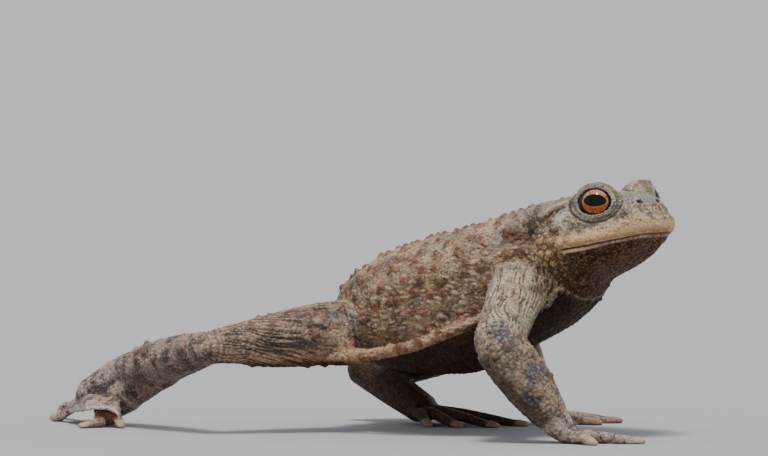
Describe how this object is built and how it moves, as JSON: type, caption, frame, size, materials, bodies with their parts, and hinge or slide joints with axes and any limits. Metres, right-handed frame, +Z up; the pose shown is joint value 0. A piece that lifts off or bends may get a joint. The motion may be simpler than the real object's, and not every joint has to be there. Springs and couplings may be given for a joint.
{
  "type": "common toad, still life-size model",
  "caption": "Life-size model of a common toad in mid stride: chest raised on one planted foreleg, one hind leg stretched back, warty skin, copper eyes, webbed hind feet",
  "frame": {"origin": "middle of the footprint, on the floor under the belly", "axes": "+X towards the snout, +Y to the toad's left, +Z up"},
  "size_m": [0.1408, 0.0722, 0.0505],
  "materials": {
    "skin_back": "dry warty skin, tan and olive brown with reddish warts",
    "skin_throat": "dark speckled granular skin",
    "skin_limb": "granular tan skin with slate blotches",
    "skin_digit": "finely grained pinkish tan skin",
    "eye": "wet copper eye with a level black pupil"
  },
  "bodies": {
    "root": {"head": "skin_back", "lower_jaw": "skin_throat", "torso": "skin_back", "eye_right": "eye", "eye_left": "eye", "upper_arm_right": "skin_limb", "upper_arm_left": "skin_limb", "forearm_right": "skin_limb", "forearm_left": "skin_limb", "hand_right": "skin_digit", "hand_left": "skin_digit", "thigh_right": "skin_limb", "thigh_left": "skin_limb", "shank_right": "skin_limb", "shank_left": "skin_limb", "foot_right": "skin_digit", "foot_left": "skin_digit"}
  },
  "joints": []
}
